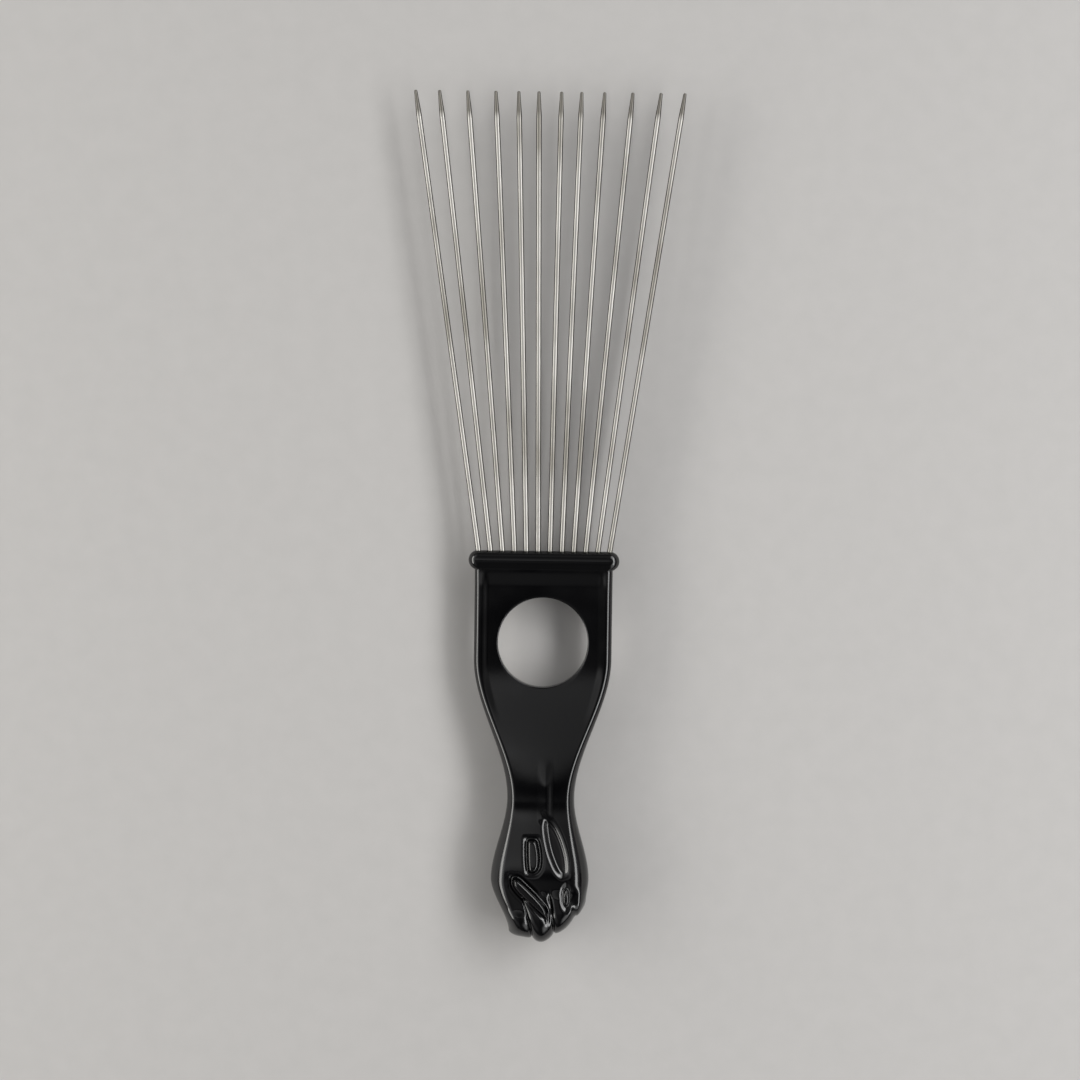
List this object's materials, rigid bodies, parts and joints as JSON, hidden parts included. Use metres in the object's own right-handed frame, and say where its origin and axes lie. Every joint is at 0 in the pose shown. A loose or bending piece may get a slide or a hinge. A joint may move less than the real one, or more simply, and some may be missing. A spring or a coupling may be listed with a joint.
{
  "type": "afro pick",
  "caption": "Long hair pick: a fan of round steel tines moulded into a flat black plastic handle with a rolled collar, a round opening and a closed-fist end.",
  "frame": {"origin": "under the middle of the pick's whole length and width, at the level of the fist's back, which is the lowest point when it lies on its back", "axes": "+Y runs from the fist to the tips of the tines, +Z out of the palm side of the fist, +X to the right of that side"},
  "size_m": [0.076, 0.24, 0.016],
  "materials": {
    "handle_plastic": "glossy",
    "tine_steel": "polished"
  },
  "bodies": {
    "root": {"handle": "handle_plastic", "tine_01": "tine_steel", "tine_02": "tine_steel", "tine_03": "tine_steel", "tine_04": "tine_steel", "tine_05": "tine_steel", "tine_06": "tine_steel", "tine_07": "tine_steel", "tine_08": "tine_steel", "tine_09": "tine_steel", "tine_10": "tine_steel", "tine_11": "tine_steel", "tine_12": "tine_steel"}
  },
  "joints": []
}
